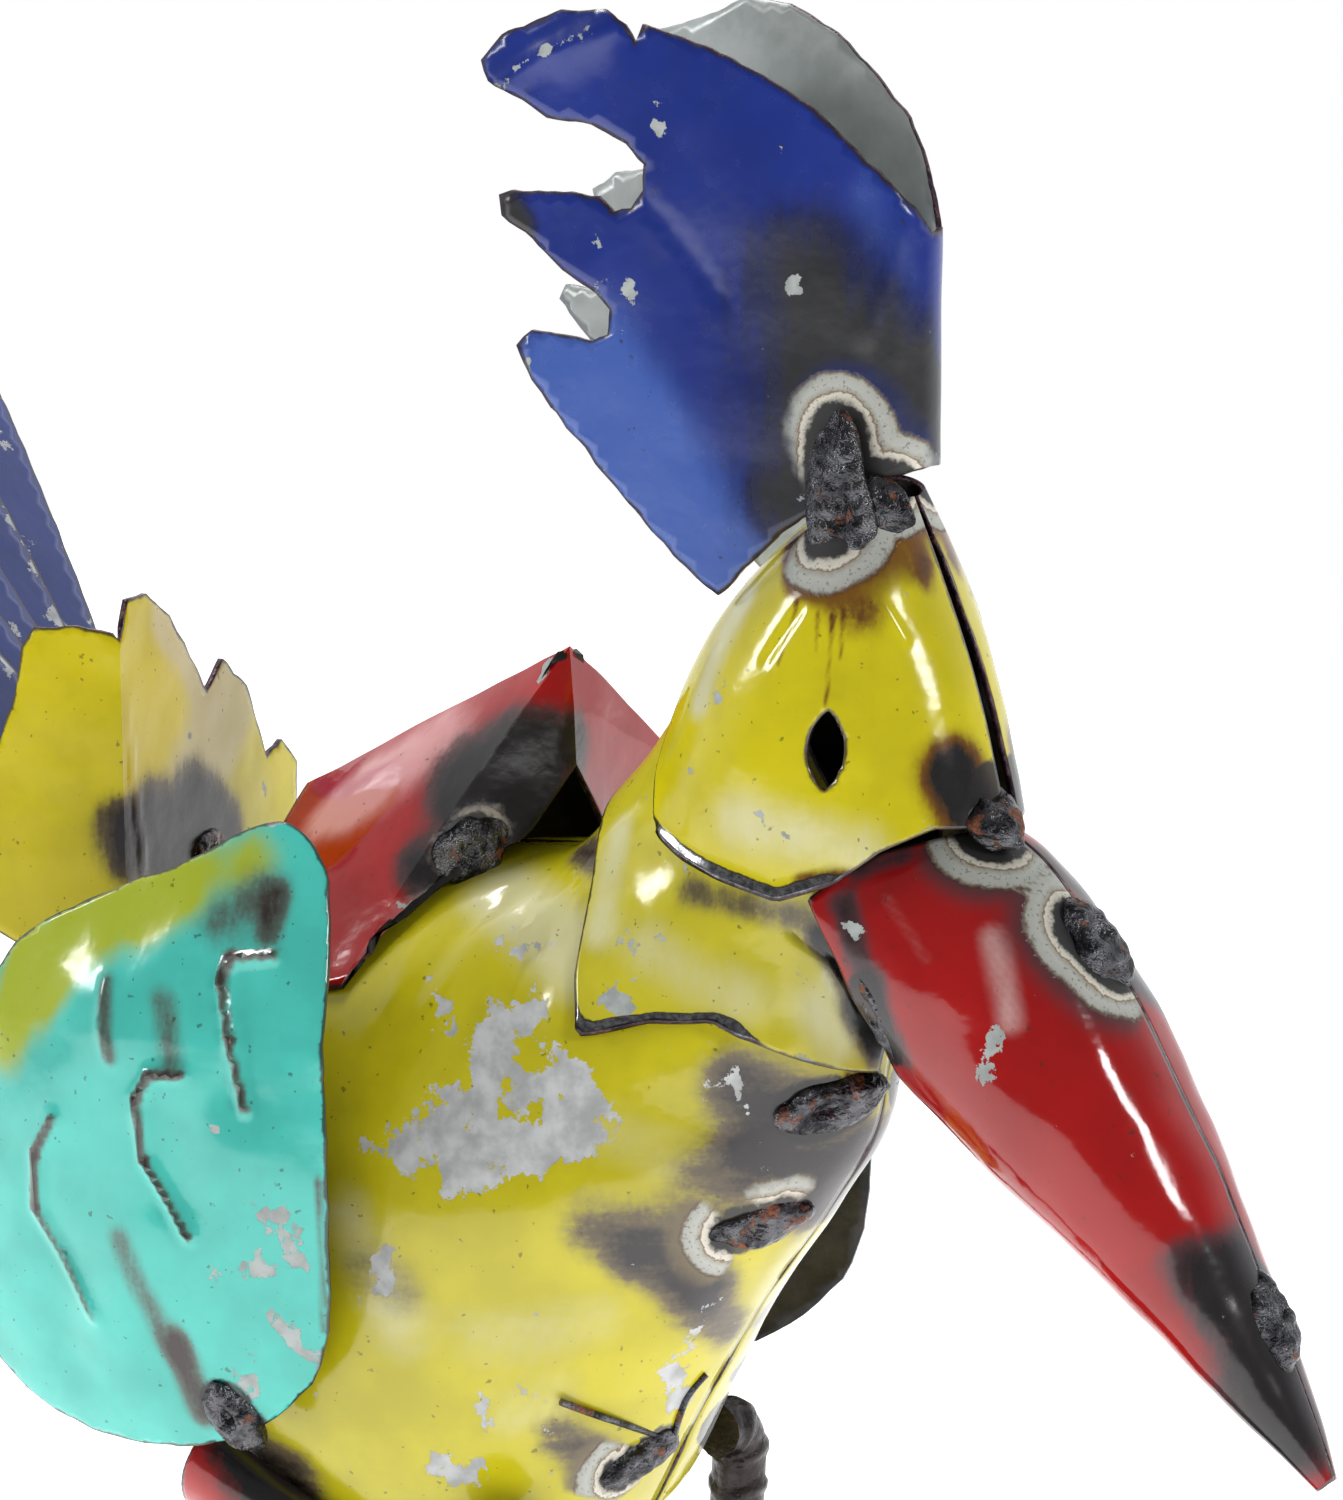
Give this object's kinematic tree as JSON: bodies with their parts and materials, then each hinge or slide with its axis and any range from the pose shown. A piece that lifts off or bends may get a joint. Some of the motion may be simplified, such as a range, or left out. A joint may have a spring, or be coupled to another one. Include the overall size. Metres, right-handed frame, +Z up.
{
  "type": "metal roadrunner statue",
  "caption": "Standing roadrunner made of folded, brightly painted sheet metal, spot-welded, on bent bar legs and a low plate.",
  "frame": {"origin": "on the underside of the base plate, below the middle of the trunk", "axes": "+Z up, +X towards the beak, the bird's right side at -Y"},
  "size_m": [0.394, 0.1821, 0.52],
  "materials": {
    "yellow_paint": "gloss enamel on sheet steel, chipped to grey, scorched at the welds",
    "blue_paint": "gloss enamel on sheet steel, bare zinc grey inside, scorched at the weld",
    "red_paint": "gloss enamel on sheet steel, scorched at the welds",
    "teal_paint": "gloss enamel on sheet steel, chipped to grey, blackened inside",
    "bare_steel": "dark oxidised ribbed bar and plate"
  },
  "bodies": {
    "root": {"base_plate": "bare_steel", "beak": "red_paint", "body_left": "yellow_paint", "body_right": "yellow_paint", "crest": "blue_paint", "head": "yellow_paint", "hood": "red_paint", "leg_left": "bare_steel", "leg_right": "bare_steel", "neck": "yellow_paint", "rump_fan": "yellow_paint", "tail_feather_1": "blue_paint", "tail_feather_2": "blue_paint", "tail_feather_3": "blue_paint", "tail_feather_4": "blue_paint", "tail_feather_5": "blue_paint", "thigh_left": "red_paint", "thigh_right": "red_paint", "toes_back_left": "bare_steel", "toes_back_right": "bare_steel", "toes_front_left": "bare_steel", "toes_front_right": "bare_steel", "wing_left": "teal_paint", "wing_right": "teal_paint"}
  },
  "joints": []
}
